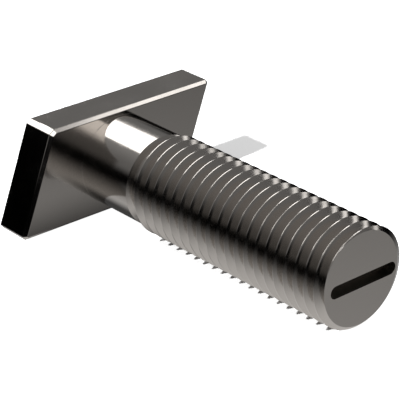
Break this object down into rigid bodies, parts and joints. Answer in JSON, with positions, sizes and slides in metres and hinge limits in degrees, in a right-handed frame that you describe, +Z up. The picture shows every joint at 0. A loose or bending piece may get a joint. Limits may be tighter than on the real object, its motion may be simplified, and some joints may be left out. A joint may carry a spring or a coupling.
{
  "type": "hammer-head bolt",
  "caption": "Hammer-head bolt: a slanted flat head on a round shank with a right-hand thread and a slot in its cut end, for clamping a part to a slotted channel.",
  "frame": {"origin": "centre of the shank on the head's bearing face, the face that presses on the channel", "axes": "+X along the shank from the head to the cut end, +Y along the head's long sides, +Z up with the bolt lying on a long side of its head"},
  "size_m": [0.0593, 0.0374, 0.0166],
  "materials": {
    "steel": "bright-rolled steel with a smooth, near mirror surface and fine scratches, seen in dark surroundings"
  },
  "bodies": {
    "root": {"t_bolt": "steel"}
  },
  "joints": []
}
